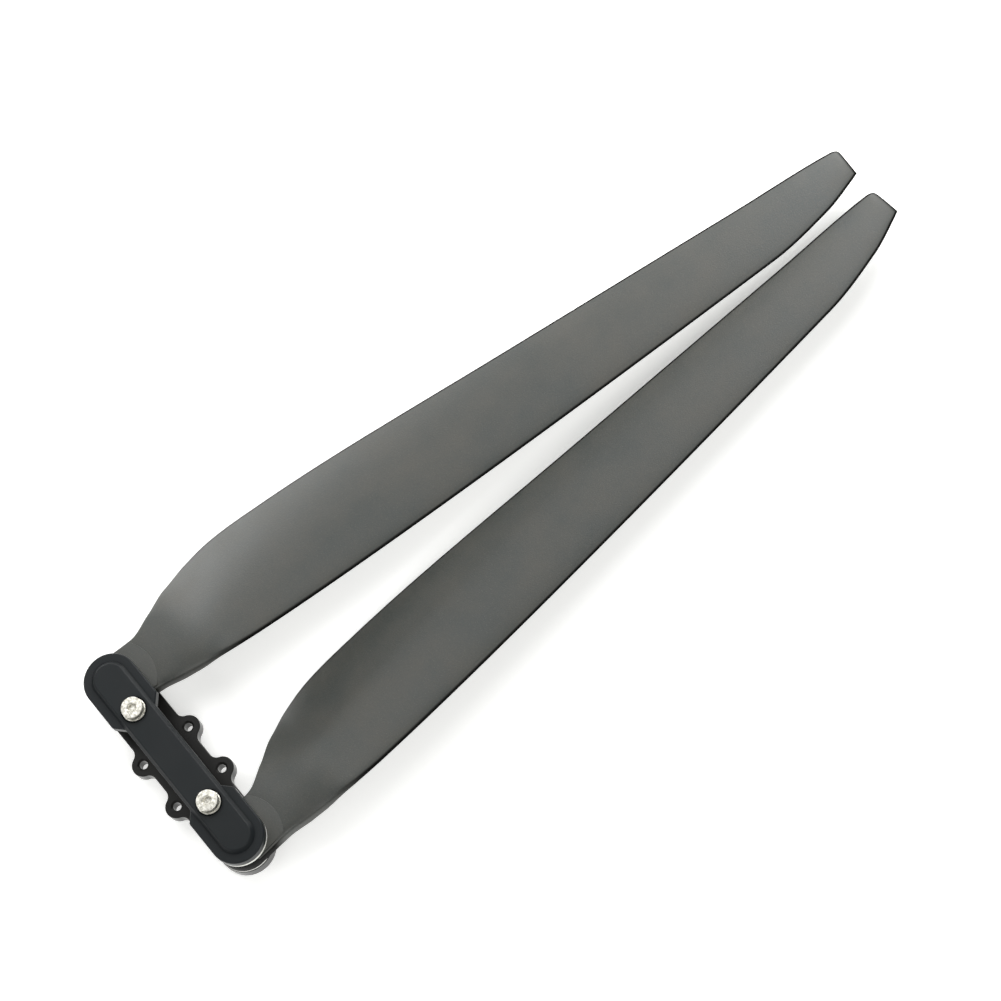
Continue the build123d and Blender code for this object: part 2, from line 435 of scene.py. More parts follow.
def finishTree(tree, mesh, position, weld, material):
    # moves the grid's points, welds those that meet, and gives the result its material
    shaped = addNode(
        tree, "GeometryNodeSetPosition", links={"Geometry": mesh, "Position": position}
    )
    welded = addNode(
        tree, "GeometryNodeMergeByDistance", {"Distance": weld}, {"Geometry": shaped.outputs[0]}
    )
    real = addNode(tree, "GeometryNodeRealizeInstances", links={0: welded.outputs[0]})
    painted = addNode(
        tree, "GeometryNodeSetMaterial", links={"Geometry": real.outputs[0], "Material": material}
    )
    addNode(tree, "NodeGroupOutput", links={0: painted.outputs[0]})


def buildTurningTree():
    # Profile is an object whose vertices hold radius as X and height as Z, with a "ridge"
    # attribute of 1 where the surface is knurled
    tree, given = startTree(
        "turnedPiece",
        {
            "Profile": "Object",
            "Rows": "Int",
            "Segments": "Int",
            "Ridges": "Int",
            "Ridge Depth": "Float",
            "Centre": "Vector",
            "Material": "Material",
        },
    )
    rowSpan = maths(tree, "SUBTRACT", given["Rows"], 1.0)
    grid = addNode(
        tree,
        "GeometryNodeMeshGrid",
        links={
            "Size X": rowSpan,
            "Size Y": given["Segments"],
            "Vertices X": given["Rows"],
            "Vertices Y": maths(tree, "ADD", given["Segments"], 1.0),
        },
    )
    place = addNode(tree, "GeometryNodeInputPosition").outputs[0]
    parts = addNode(tree, "ShaderNodeSeparateXYZ", links={0: place}).outputs
    row = wholeNumber(tree, maths(tree, "MULTIPLY_ADD", rowSpan, 0.5, parts["X"]))
    turn = maths(tree, "DIVIDE", parts["Y"], given["Segments"])
    angle = maths(tree, "MULTIPLY", turn, 2 * math.pi)
    profile = addNode(
        tree, "GeometryNodeObjectInfo", links={"Object": given["Profile"]}
    ).outputs["Geometry"]
    point = sampled(tree, profile, place, row, "FLOAT_VECTOR")
    ridge = sampled(tree, profile, named(tree, "ridge"), row)
    # ridges: the radius drops in a smooth wave, and only where the profile says so
    wave = maths(tree, "COSINE", maths(tree, "MULTIPLY", angle, given["Ridges"]))
    dip = maths(tree, "SUBTRACT", wave, 1.0)
    depth = maths(tree, "MULTIPLY", ridge, given["Ridge Depth"])
    sides = addNode(tree, "ShaderNodeSeparateXYZ", links={0: point}).outputs
    radius = maths(tree, "MULTIPLY_ADD", dip, depth, sides["X"])
    flat = addNode(tree, "ShaderNodeCombineXYZ", links={"X": radius, "Z": sides["Z"]})
    turned = addNode(
        tree,
        "ShaderNodeVectorRotate",
        {"rotation_type": "Z_AXIS"},
        {"Vector": flat.outputs[0], "Angle": angle},
    )
    placed = addNode(
        tree,
        "ShaderNodeVectorMath",
        {"operation": "ADD"},
        {0: turned.outputs[0], 1: given["Centre"]},
    )
    finishTree(tree, grid.outputs["Mesh"], placed.outputs[0], 1e-6, given["Material"])
    return tree


def runTree(piece, tree, values):
    # sets the named inputs by their identifiers and turns the result into a plain mesh
    modifier = piece.modifiers.new(tree.name, "NODES")
    modifier.node_group = tree
    for item in tree.interface.items_tree:
        if item.in_out == "INPUT" and item.name in values:
            modifier[item.identifier] = values[item.name]
    applyModifiers(piece)


def faceOutwards(piece):
    work = bmesh.new()
    work.from_mesh(piece.data)
    bmesh.ops.recalc_face_normals(work, faces=work.faces)
    if work.calc_volume(signed=True) < 0:
        bmesh.ops.reverse_faces(work, faces=work.faces)
    work.to_mesh(piece.data)
    work.free()


turningTree = buildTurningTree()


def turnedPiece(name, profile, centre, material, segments=96, ridges=0, ridgeDepth=0.0):
    # profile rows are (radius, height) or (radius, height, ridge share)
    line = bpy.data.meshes.new("profile")
    line.from_pydata([(row[0], 0, row[1]) for row in profile], [], [])
    ridge = line.attributes.new("ridge", "FLOAT", "POINT")
    ridge.data.foreach_set("value", [row[2] if len(row) > 2 else 0.0 for row in profile])
    profileObject = newObject("profile", line)
    piece = newObject(name, bpy.data.meshes.new(name))
    runTree(
        piece,
        turningTree,
        {
            "Profile": profileObject,
            "Rows": len(profile),
            "Segments": segments,
            "Ridges": ridges,
            "Ridge Depth": ridgeDepth / 2,
            "Centre": centre,
            "Material": material,
        },
    )
    removeObject(profileObject)
    faceOutwards(piece)
    return piece


def ringProfile(outer, inner, low, high, corner, steps=4):
    # a washer's section, with all four edges rounded
    rows = []
    for centreX, centreZ, start in (
        (outer - corner, high - corner, 0),
        (inner + corner, high - corner, 90),
        (inner + corner, low + corner, 180),
        (outer - corner, low + corner, 270),
    ):
        for i in range(steps + 1):
            angle = math.radians(start + 90 * i / steps)
            rows.append((centreX + corner * math.cos(angle), centreZ + corner * math.sin(angle)))
    return rows + rows[:1]


def plug(name, radius, low, high, centre, segments=64):
    # a plain closed cylinder, used for cutting holes
    rows = [(0, low), (radius, low), (radius, high), (0, high)]
    return turnedPiece(name, rows, centre, steel, segments)


bottomPlateShape = {
    "earSpacingX": 22.0,
    "earSpacingY": 22.0,
    "earRadius": 4.7,
    "earHole": 1.65,
    "countersink": 0.7,
    "earBlend": 3.4,
    "rim": 0.45,
    "postSocket": 3.9,
    "lowerBevel": 0.15,
    "crease": 38,
    "arcSteps": 48,
}


def plateOutline(shape):
    ear = Vector((shape["earSpacingX"], shape["earSpacingY"])) * mm / 2
    radius, blend = shape["earRadius"] * mm, shape["earBlend"] * mm
    # the hollow corner's centre lies above the plate's edge and touches the ear's circle
    rise = lobeRadius + blend - ear.y
    aside = math.sqrt((radius + blend) ** 2 - rise**2)
    lean = math.degrees(math.atan2(rise, aside))
    points = arc((halfPivots, 0), lobeRadius, -90, 90, shape["arcSteps"])
    for side in (1, -1):
        middle = Vector((side * ear.x, ear.y))
        points += arc(middle + Vector((aside, rise)), blend, -90, lean - 180)
        points += arc(middle, radius, lean, 180 - lean, 28)
        points += arc(middle + Vector((-aside, rise)), blend, -lean, -90)
    return points + halfTurn(points)


def makeBottomPlate(shape):
    rim = shape["rim"] * mm
    low, high = plateLow.z, plateHigh.z
    profile = [(across * rim, low + up * rim) for across, up in softCorner(1)]
    profile += [(across * rim, high - up * rim) for across, up in reversed(softCorner(1))]
    plate = layeredMesh("bottomPlate", plateOutline(shape), profile)
    hole, sink = shape["earHole"] * mm, shape["countersink"] * mm
    bevel = shape["lowerBevel"] * mm
    for x in (-1, 1):
        for y in (-1, 1):
            centre = Vector((x * shape["earSpacingX"], y * shape["earSpacingY"], 0)) * mm / 2
            rows = [
                (0, low - past),
                (hole + past + bevel, low - past),
                (hole, low + bevel),
                (hole, high - sink),
                (hole + sink + past, high + past),
                (0, high + past),
            ]
            combine(plate, turnedPiece("earHole", rows, centre, steel, 48), "DIFFERENCE")
    for place in screwPlaces.values():
        centre = (place.x, place.y, 0)
        socket = plug("postSocket", shape["postSocket"] * mm, low - past, high + past, centre)
        combine(plate, socket, "DIFFERENCE")
    smooth(plate, shape["crease"])
    finishPiece(plate, plateAnodised, "hub", "anodised_plate", "bottom_plate")
    return plate


makeBottomPlate(bottomPlateShape)
print("bottom plate made")


topCoverShape = {
    "ribHeight": 1.5,
    "ribRadius": 5.9,
    "ribSlope": 1.4,
    "waistSetback": 15.8,
    "waistSlant": 4.0,
    "waistRounding": 1.2,
    "rim": 0.5,
    "ribRounding": 0.35,
    "spotFaceRadius": 5.1,
    "spotFaceDepth": 0.5,
    "screwHole": 2.75,
    "spotBevel": 0.08,
    "lowerRounding": 0.12,
    "outlineGap": 0.02,
    # the rib's foot, as places across and up from the shoulder
    "ribFoot": [(0, -1.2), (0, -0.05), (0.05, 0.04)],
    "ribSide": (0.2, 0.5, 0.72),
    # its rounded top, as shares of the slope, of the rounding inwards and of the rounding down
    "ribTop": [(0.86, 0, 0.42), (0.95, 0, 0.2), (1.05, 0, 0.06), (1, 0.6, 0)],
    "crease": 38,
    "arcSteps": 48,
}


def roundedCorner(before, corner, after, radius, steps=8):
    # the arc that touches both straight edges at a corner
    corner = Vector(corner)
    inward = (Vector(before) - corner).normalized()
    outward = (Vector(after) - corner).normalized()
    half = inward.angle(outward) / 2
    middle = corner + (inward + outward).normalized() * radius / math.sin(half)
    start = corner + inward * radius / math.tan(half) - middle
    end = corner + outward * radius / math.tan(half) - middle
    first = math.degrees(math.atan2(start.y, start.x))
    sweep = math.degrees(math.atan2(start.x * end.y - start.y * end.x, start.dot(end)))
    return arc(middle, radius, first, first + sweep, steps)


def coverOutline(shape, narrow):
    wide = halfPivots - shape["waistSetback"] * mm
    thin = wide - shape["waistSlant"] * mm
    rounding = shape["waistRounding"] * mm
    corners = [
        (halfPivots, lobeRadius),
        (wide, lobeRadius),
        (thin, narrow),
        (-thin, narrow),
        (-wide, lobeRadius),
        (-halfPivots, lobeRadius),
    ]
    points = arc((halfPivots, 0), lobeRadius, -90, 90, shape["arcSteps"])
    for before, corner, after in zip(corners, corners[1:], corners[2:]):
        points += roundedCorner(before, corner, after, rounding)
    return points + halfTurn(points)


def stadiumOutline(radius, steps):
    points = arc((halfPivots, 0), radius, -90, 90, steps)
    return points + halfTurn(points)


def makeTopCover(shape):
    low, high = coverLow.z, coverHigh.z
    shoulder = high - shape["ribHeight"] * mm
    foot = (shape["ribRadius"] + shape["ribSlope"]) * mm
    rim = shape["rim"] * mm
    soft = shape["lowerRounding"] * mm
    profile = [(soft, low), (soft * 0.3, low + soft * 0.3), (0, low + soft)]
    profile += [(across * rim, shoulder - up * rim) for across, up in reversed(softCorner(1))]
    outline = coverOutline(shape, foot + shape["outlineGap"] * mm)
    cover = layeredMesh("topCover", outline, profile)
    # the rib's section: a hollow curve at its foot, a slope and a rounded top edge
    slope, rise = shape["ribSlope"] * mm, shape["ribHeight"] * mm
    edge = shape["ribRounding"] * mm
    ribProfile = [(across * mm, shoulder + up * mm) for across, up in shape["ribFoot"]]
    ribProfile += [(slope * share, shoulder + rise * share) for share in shape["ribSide"]]
    ribProfile += [
        (slope * along + edge * inwards, high - edge * drop)
        for along, inwards, drop in shape["ribTop"]
    ]
    rib = layeredMesh("rib", stadiumOutline(foot, shape["arcSteps"]), ribProfile)
    combine(cover, rib, "UNION")
    seat, bevel = high - shape["spotFaceDepth"] * mm, shape["spotBevel"] * mm
    spot, hole = shape["spotFaceRadius"] * mm, shape["screwHole"] * mm
    for place in screwPlaces.values():
        centre = (place.x, place.y, 0)
        rows = [
            (0, low - past),
            (hole, low - past),
            (hole, seat),
            (spot, seat),
            (spot, high - bevel),
            (spot + past + bevel, high + past),
            (0, high + past),
        ]
        combine(cover, turnedPiece("spotFace", rows, centre, steel, 72), "DIFFERENCE")
    smooth(cover, shape["crease"])
    finishPiece(cover, anodised, "hub", "anodised_plate", "top_cover")
    return cover


makeTopCover(topCoverShape)
print("top cover made")


# each washer's edge rounding and bore, and what it's made of
ringShapes = {
    "steel_washer": (0.12, 4.05, steel, "stainless_steel"),
    "upper_slip_washer": (0.18, 4.05, acetal, "slip_plastic"),
    "lower_slip_washer": (0.15, 4.05, acetal, "slip_plastic"),
    "screw_washer": (0.18, 2.75, steel, "stainless_steel"),
}
ringCrease = 50
for node, (corner, bore, material, slot) in ringShapes.items():
    for side in ("left", "right"):
        low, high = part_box(f"{node}_{side}")
        middle = (low + high) / 2
        rows = ringProfile((high.x - low.x) / 2, bore * mm, low.z, high.z, corner * mm)
        centre = (middle.x, middle.y, 0)
        ringPiece = turnedPiece(f"{node}_{side}_round", rows, centre, material, 128)
        smooth(ringPiece, ringCrease)
        finishPiece(ringPiece, material, "hub", slot, f"{node}_{side}")
print("washers made")

screwShape = {
    "shankRadius": 2.5,
    "headRadius": 4.25,
    "headHeight": 2.8,
    "topRounding": 0.35,
    "socketWidth": 3.0,
    "socketDepth": 1.7,
    "socketMouth": 0.25,
    "tipBevel": 0.6,
    "ridges": 44,
    "ridgeDepth": 0.09,
    "underBevel": 0.12,
    "knurlLow": 0.3,
    "knurlTop": 0.25,
    "knurlRamp": 0.06,
    "roundingSteps": 5,
    "drillCone": 0.3,
    "mouthDepth": 0.5,
    "crease": 34,
}


def makeScrew(side, shape):
    low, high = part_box(f"clamp_screw_{side}")
    centre = (screwPlaces[side].x, screwPlaces[side].y, 0)
    base = high.z - shape["headHeight"] * mm
    shank, head = shape["shankRadius"] * mm, shape["headRadius"] * mm
    bevel, rounding = shape["tipBevel"] * mm, shape["topRounding"] * mm
    under, ramp = shape["underBevel"] * mm, shape["knurlRamp"] * mm
    knurlLow = base + shape["knurlLow"] * mm
    knurlTop = high.z - rounding - shape["knurlTop"] * mm
    rows = [
        (0, low.z),
        (shank - bevel, low.z),
        (shank, low.z + bevel),
        (shank, base),
        (head - under, base),
        (head, base + under),
        (head, knurlLow),
        (head, knurlLow + ramp, 1),
        (head, knurlTop, 1),
        (head, knurlTop + ramp),
    ]
    rim, shoulder = head - rounding, high.z - rounding
    for i in range(shape["roundingSteps"] + 1):
        angle = math.radians(90 * i / shape["roundingSteps"])
        rows.append((rim + rounding * math.cos(angle), shoulder + rounding * math.sin(angle)))
    rows.append((0, high.z))
    screw = turnedPiece(
        f"clampScrew{side.capitalize()}",
        rows,
        centre,
        steel,
        shape["ridges"] * 6,
        shape["ridges"],
        shape["ridgeDepth"] * mm,
    )
    # the socket: a hexagon that ends in the drill's shallow cone, with a bevelled mouth
    corner = shape["socketWidth"] * mm / math.sqrt(3)
    floor, top = high.z - shape["socketDepth"] * mm, high.z + past
    rows = [(0, floor - shape["drillCone"] * mm), (corner, floor), (corner, top), (0, top)]
    combine(screw, turnedPiece("hexagon", rows, centre, steel, 6), "DIFFERENCE")
    edge, depth = corner + shape["socketMouth"] * mm, shape["mouthDepth"] * mm
    rows = [(0, high.z - depth), (edge - depth, high.z - depth), (edge + past, top), (0, top)]
    combine(screw, turnedPiece("mouth", rows, centre, steel, 48), "DIFFERENCE")
    smooth(screw, shape["crease"])
    finishPiece(screw, steel, "hub", "stainless_steel", f"clamp_screw_{side}")
    return screw


for side in ("left", "right"):
    makeScrew(side, screwShape)
print("screws made")

for side in ("left", "right"):
    for node, material in (("threaded_post", steel), ("pivot_pin", steel), ("root_bush", brass)):
        cadPiece = frame["nodes"][f"{node}_{side}"]
        cadPiece.data.materials.clear()
        cadPiece.data.materials.append(material)


bladeShape = {
    "reach": 340.0,
    "pitch": 228.6,
    "foldedGap": 2.5,
    "leanDifference": 0.4,
    "neckOverhang": 0.4,
    "neckEnd": 14.0,
    "twistFull": 45.0,
    "foilFull": 55.0,
    "widest": 58.0,
    "sweepLength": 45.0,
    "tipRounding": 3.0,
    "rootThickness": 6.4,
    "padHeight": 0.1,
    "padRadius": 17.0,
    "padInset": 0.6,
    "rootInset": 0.2,
    "bushRadius": 5.55,
    "midThickness": 4.8,
    "tipThickness": 1.5,
    "rootEdge": 4.0,
    "trailingEdge": 0.8,
    "tipEdge": 0.6,
    "camber": 0.032,
    # an edge gets full painted shade up to the first distance and none past the second
    "paintedEdgeShadeLeading": (0.45, 0.95),
    "paintedEdgeShadeTrailing": (0.65, 1.0),
    "paintedEdgeShadeTip": (339.1, 339.45),
    "paintedEdgeShadeFrom": (30, 52),
    "perSide": 56,
    # rows of the skin: how many and how far apart at the root and in the middle, then at the tip
    "rootRows": (80, 0.8),
    "middleRows": (110, 2.4),
    "tipRows": 22,
    "tipDome": 0.7,
    "domeRows": 6,
    "blunt": 0.01,
    "padSoftness": 0.12,
    "clearance": 30.0,
    "crease": 32,
}
neckHalf = lobeRadius / mm + bladeShape["neckOverhang"]
sweepStart = bladeShape["reach"] - bladeShape["sweepLength"]
widestLeading, widestTrailing = 21.13, 34.6
sweepLeading, sweepTrailing = 18.5, 9.6
tipLeading, tipTrailing = 9.8, 5.6
# how far each edge stands from the line through the pivot, at stations along that line
leadingEdge = [
    (0, neckHalf),
    (bladeShape["neckEnd"], neckHalf + 0.5),
    (25, neckHalf + 3.4),
    (35, widestLeading - 2.9),
    (bladeShape["twistFull"], widestLeading - 0.4),
    (bladeShape["widest"], widestLeading),
    (sweepStart, sweepLeading),
    (bladeShape["reach"] - 0.4 * bladeShape["sweepLength"], (sweepLeading + tipLeading) / 2 + 0.5),
    (bladeShape["reach"] - bladeShape["tipRounding"], tipLeading),
    (bladeShape["reach"], tipLeading - 1.2),
]
taperStart, taperFrom = bladeShape["widest"] + 27, widestTrailing - 2.2
trailingEdge = [
    (0, neckHalf),
    (bladeShape["neckEnd"], neckHalf + 0.3),
    (25, neckHalf + 6.1),
    (35, widestTrailing - 8.2),
    (bladeShape["twistFull"], widestTrailing - 1.6),
    (bladeShape["widest"], widestTrailing),
    (taperStart, taperFrom),
    ((taperStart + sweepStart) / 2, (taperFrom + sweepTrailing) / 2 - 0.8),
    (sweepStart, sweepTrailing),
    (bladeShape["reach"] - bladeShape["tipRounding"], tipTrailing),
    (bladeShape["reach"] - 0.4 * bladeShape["tipRounding"], tipTrailing - 0.7),
    (bladeShape["reach"] - 0.1 * bladeShape["tipRounding"], tipTrailing - 1.7),
    (bladeShape["reach"], tipTrailing - 3.0),
]
skin = bladeShape["rootThickness"] - 2 * bladeShape["padHeight"]
thicknessLine = [
    (0, skin),
    (bladeShape["neckEnd"], skin),
    (bladeShape["widest"], bladeShape["midThickness"]),
    (bladeShape["reach"], bladeShape["tipThickness"]),
]
edgeLine = [
    (0, bladeShape["rootEdge"]),
    (bladeShape["foilFull"], bladeShape["trailingEdge"]),
    (bladeShape["reach"], bladeShape["tipEdge"]),
]


def flow(points, station):
    # a smooth curve through the points, that never swings past them
    slopes = [(b[1] - a[1]) / (b[0] - a[0]) for a, b in zip(points, points[1:])]
    tangents = [slopes[0]]
    for before, after in zip(slopes, slopes[1:]):
        tangents.append(2 * before * after / (before + after) if before * after > 0 else 0)
    tangents.append(slopes[-1])
    span = 0
    while span < len(slopes) - 1 and station > points[span + 1][0]:
        span += 1
    (start, low), (end, high) = points[span], points[span + 1]
    length = end - start
    t = (station - start) / length
    return (
        (1 + 2 * t) * (1 - t) ** 2 * low
        + t * (1 - t) ** 2 * length * tangents[span]
        + t * t * (3 - 2 * t) * high
        - t * t * (1 - t) * length * tangents[span + 1]
    )


def easeIn(value, start, end):
    share = min(max((value - start) / (end - start), 0), 1)
    return share * share * (3 - 2 * share)


def stationRows(shape):
    # one row of the skin for each station, closer together at the root and the tip
    rootCount, rootStep = shape["rootRows"]
    middleCount, middleStep = shape["middleRows"]
    dome, domeRows = shape["tipDome"], shape["domeRows"]
    domeStart = shape["reach"] - dome
    stations = [i * rootStep for i in range(rootCount)]
    stations += [rootCount * rootStep + i * middleStep for i in range(middleCount)]
    last = stations[-1]
    step = (domeStart - last) / shape["tipRows"]
    stations += [last + step * (i + 1) for i in range(shape["tipRows"])]
    rows = [(0, 0)] + [(station, 1) for station in stations]
    # the tip's end is rounded off in thickness
    for i in range(1, domeRows + 1):
        angle = math.radians(90 * i / domeRows)
        rows.append((domeStart + dome * math.sin(angle), math.cos(angle)))
    made = []
    for station, fullness in rows:
        lead, trail = flow(leadingEdge, station), flow(trailingEdge, station)
        full = math.atan(shape["pitch"] / (2 * math.pi * (station + halfPivots / mm)))
        foil = easeIn(station, shape["neckEnd"], shape["foilFull"])
        made.append(
            {
                "station": station,
                "lead": lead,
                "chord": lead + trail,
                "twist": full * easeIn(station, shape["neckEnd"], shape["twistFull"]),
                "full": flow(thicknessLine, station) * fullness,
                "edge": flow(edgeLine, station) * fullness,
                "foil": foil,
                "arch": 4 * shape["camber"] * foil,
            }
        )
    return made


def sectionColumns(shape):
    # one column for each place round the section, from the leading edge over the top and back
    made = []
    count = shape["perSide"]
    for step in range(-count, count + 1):
        share = (1 - math.cos(math.pi * step / count)) / 2
        side = 1 if step < 0 else -1
        # the blunt trailing edge is rounded over its last hundredth of the chord
        intoRound = max(0, (share - 1 + shape["blunt"]) / shape["blunt"])
        roundOff = math.sqrt(max(0, 1 - intoRound**2))
        square = (1 - abs(2 * share - 1) ** 6) ** (1 / 6)
        naca = 5 * (
            0.2969 * math.sqrt(share) - 0.1260 * share - 0.3516 * share**2
            + 0.2843 * share**3 - 0.1036 * share**4
        )
        made.append(
            {
                "share": share,
                "bow": share * (1 - share),
                "wedge": side * roundOff * share / 2,
                "slab": side * roundOff * square / 2,
                "slabWedge": -side * roundOff * share * square / 2,
                "naca": side * roundOff * naca,
            }
        )
    # the loop starts and ends at the trailing edge, where both ends meet
    return made


def attributeLine(name, rows):
    mesh = bpy.data.meshes.new(name)
    mesh.from_pydata([(i, 0, 0) for i in range(len(rows))], [], [])
    for key in rows[0]:
        layer = mesh.attributes.new(key, "FLOAT", "POINT")
        layer.data.foreach_set("value", [row[key] for row in rows])
    return newObject(name, mesh)


def buildBladeTree(rowKeys, columnKeys):
    tree, given = startTree(
        "bladeSkin",
        {
            "Stations": "Object",
            "Section": "Object",
            "Station Count": "Int",
            "Section Count": "Int",
            "Root Height": "Float",
            "Unit": "Float",
            "Material": "Material",
        },
    )
    spans = {
        key: maths(tree, "SUBTRACT", given[f"{key} Count"], 1.0) for key in ("Station", "Section")
    }
    grid = addNode(
        tree,
        "GeometryNodeMeshGrid",
        links={
            "Size X": spans["Station"],
            "Size Y": spans["Section"],
            "Vertices X": given["Station Count"],
            "Vertices Y": given["Section Count"],
        },
    )
    place = addNode(tree, "GeometryNodeInputPosition").outputs[0]
    parts = addNode(tree, "ShaderNodeSeparateXYZ", links={0: place}).outputs
    value = {}
    for key, axis, source, names in (
        ("Station", "X", "Stations", rowKeys),
        ("Section", "Y", "Section", columnKeys),
    ):
        index = wholeNumber(tree, maths(tree, "MULTIPLY_ADD", spans[key], 0.5, parts[axis]))
        line = addNode(tree, "GeometryNodeObjectInfo", links={"Object": given[source]})
        for name in names:
            value[name] = sampled(tree, line.outputs["Geometry"], named(tree, name), index)
    # each step is a result's name, the operation, and what it works on
    steps = [
        ("notFoil", "SUBTRACT", 1.0, "foil"),
        ("slabFull", "MULTIPLY", "full", "slab"),
        ("slabPart", "MULTIPLY_ADD", "edge", "slabWedge", "slabFull"),
        ("slabShare", "MULTIPLY", "slabPart", "notFoil"),
        ("nacaFull", "MULTIPLY", "full", "naca"),
        ("foilPart", "MULTIPLY_ADD", "nacaFull", "foil", "slabShare"),
        ("skinHeight", "MULTIPLY_ADD", "edge", "wedge", "foilPart"),
        ("bowChord", "MULTIPLY", "bow", "chord"),
        ("height", "MULTIPLY_ADD", "bowChord", "arch", "skinHeight"),
        ("behind", "MULTIPLY", "share", "chord"),
        ("across", "SUBTRACT", "lead", "behind"),
        ("turn", "MULTIPLY", "twist", -1.0),
        ("ahead", "SUBTRACT", "chord", "behind"),
    ]
    for name, operation, *inputs in steps:
        value[name] = maths(tree, operation, *(value.get(item, item) for item in inputs))
    flat = addNode(
        tree, "ShaderNodeCombineXYZ", links={"X": value["across"], "Z": value["height"]}
    )
    twisted = addNode(
        tree,
        "ShaderNodeVectorRotate",
        {"rotation_type": "Y_AXIS"},
        {"Vector": flat.outputs[0], "Angle": value["turn"]},
    )
    along = addNode(
        tree, "ShaderNodeCombineXYZ", links={"Y": value["station"], "Z": given["Root Height"]}
    )
    together = addNode(
        tree,
        "ShaderNodeVectorMath",
        {"operation": "ADD"},
        {0: twisted.outputs[0], 1: along.outputs[0]},
    )
    scaled = addNode(
        tree,
        "ShaderNodeVectorMath",
        {"operation": "SCALE"},
        {0: together.outputs[0], 3: given["Unit"]},
    )
    # how much painted shade each edge gets: full at the edge itself, none further in or at the
    # neck
    leading, trailing, tip, neck = [
        remap(tree, value[name], bladeShape[limits], target, smooth=True)
        for name, limits, target in (
            ("behind", "paintedEdgeShadeLeading", (1, 0)),
            ("ahead", "paintedEdgeShadeTrailing", (1, 0)),
            ("station", "paintedEdgeShadeTip", (0, 1)),
            ("station", "paintedEdgeShadeFrom", (0, 1)),
        )
    ]
    rim = maths(tree, "MAXIMUM", maths(tree, "MAXIMUM", leading, trailing), tip)
    # stored before the grid is moved, because the rows and columns are found from its places
    marked = addNode(
        tree,
        "GeometryNodeStoreNamedAttribute",
        {"data_type": "FLOAT", "domain": "POINT", "Name": "sanded"},
        {"Geometry": grid.outputs["Mesh"], "Value": maths(tree, "MULTIPLY", rim, neck)},
    )
    finishTree(tree, marked.outputs[0], scaled.outputs[0], 2e-6, given["Material"])
    return tree


def padOutline(shape):
    # the root disc, and the pad's round end cut to the neck's width
    disc = (lobeRadius / mm - shape["rootInset"]) * mm
    reach = shape["padRadius"] * mm
    half = (neckHalf - shape["padInset"]) * mm
    corner = math.degrees(math.acos(half / reach))
    points = arc((0, 0), reach, corner, 180 - corner, 40)
    # the neck's sides run straight down to the disc
    meeting = math.degrees(math.acos(min(1, half / disc)))
    return points + arc((0, 0), disc, 180 - meeting + 1, 360 + meeting - 1, 64)


def makeBladeSkin(shape):
    rootLow, rootHigh = (corner.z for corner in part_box("root_bush_right"))
    rows, columns = stationRows(shape), sectionColumns(shape)
    stations = attributeLine("stations", rows)
    section = attributeLine("section", columns)
    tree = buildBladeTree(list(rows[0]), list(columns[0]))
    blade = newObject("bladeSkin", bpy.data.meshes.new("bladeSkin"))
    runTree(
        blade,
        tree,
        {
            "Stations": stations,
            "Section": section,
            "Station Count": len(stations.data.vertices),
            "Section Count": len(section.data.vertices),
            "Root Height": (rootLow + rootHigh) / 2 / mm,
            "Unit": mm,
            "Material": carbonNylon,
        },
    )
    removeObject(stations)
    removeObject(section)
    faceOutwards(blade)
    # room for the plates' round ends, above and below the pad
    clear = shape["clearance"] * mm
    lip = shape["padHeight"] * mm / 2
    reach = shape["padRadius"] * mm
    for name, low, high in (
        ("above", rootHigh - lip, rootHigh + clear),
        ("below", rootLow - clear, rootLow + lip),
    ):
        combine(blade, plug(name, reach, low, high, (0, 0, 0), 160), "DIFFERENCE")
    soft = shape["padSoftness"] * mm
    profile = [(soft, rootLow), (soft * 0.3, rootLow + soft * 0.3), (0, rootLow + soft)]
    profile += [(0, rootHigh - soft), (soft * 0.3, rootHigh - soft * 0.3), (soft, rootHigh)]
    combine(blade, layeredMesh("pad", padOutline(shape), profile), "UNION")
    bore = plug("bore", shape["bushRadius"] * mm, rootLow - clear, rootHigh + clear, (0, 0, 0), 96)
    combine(blade, bore, "DIFFERENCE")
    return blade


def makeBlades(shape):
    master = makeBladeSkin(shape)
    smooth(master, shape["crease"], weighted=False)
    travel = (2 * halfPivots / mm - sweepLeading - sweepTrailing - shape["foldedGap"]) / 2
    lean = math.asin(travel / sweepStart)
    for side, sign in (("left", -1), ("right", 1)):
        body = f"{side}_blade"
        angle = sign * lean + math.radians(shape["leanDifference"]) / 2
        mesh = master.data.copy()
        place = Matrix.Translation((pivots[body].x, pivots[body].y, 0))
        mesh.transform(place @ Matrix.Rotation(angle, 4, "Z"))
        blade = newObject(f"blade{side.capitalize()}", mesh)
        finishPiece(blade, carbonNylon, body, "carbon_nylon", f"blade_{side}")
    removeObject(master)


makeBlades(bladeShape)
print("blades made")


lowest = min(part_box(node)[0].z for node in frame["nodes"])
stageShape = {
    "floorSize": 6.0,
    "paper": "#F9F9F7",
    "worldColour": "#F6F8FA",
    "worldStrength": 0.15,
    "paperGlow": 0.42,
    "paperRoughness": 0.9,
}


